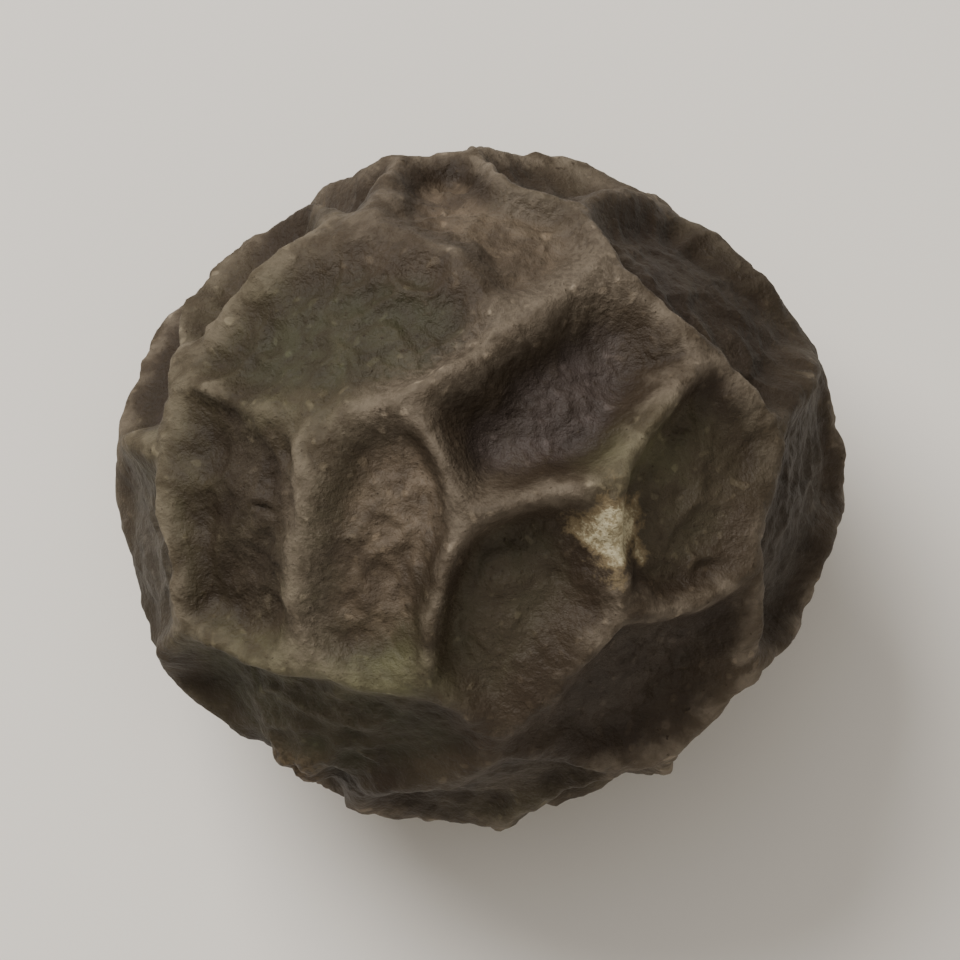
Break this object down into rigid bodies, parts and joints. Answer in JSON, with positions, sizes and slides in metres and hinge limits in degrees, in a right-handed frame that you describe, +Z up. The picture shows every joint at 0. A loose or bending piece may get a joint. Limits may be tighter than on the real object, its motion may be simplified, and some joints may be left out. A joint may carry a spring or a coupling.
{
  "type": "black peppercorn",
  "caption": "Dried black peppercorn: a small rounded fruit whose skin has shrunk into a raised, irregular net of ridges, for seasoning, whole or ground.",
  "frame": {"origin": "on the small flat spot that it rests on, under the middle of its outline", "axes": "+Z up, away from what it rests on; +X along its widest way across, to the right in the picture; +Y towards the top of the picture"},
  "size_m": [0.0052, 0.005, 0.0046],
  "materials": {
    "skin": "dry wrinkled skin, grey-brown to black, matte with a faint sheen, paler and tan along the crests"
  },
  "bodies": {
    "root": {"peppercorn": "skin"}
  },
  "joints": []
}
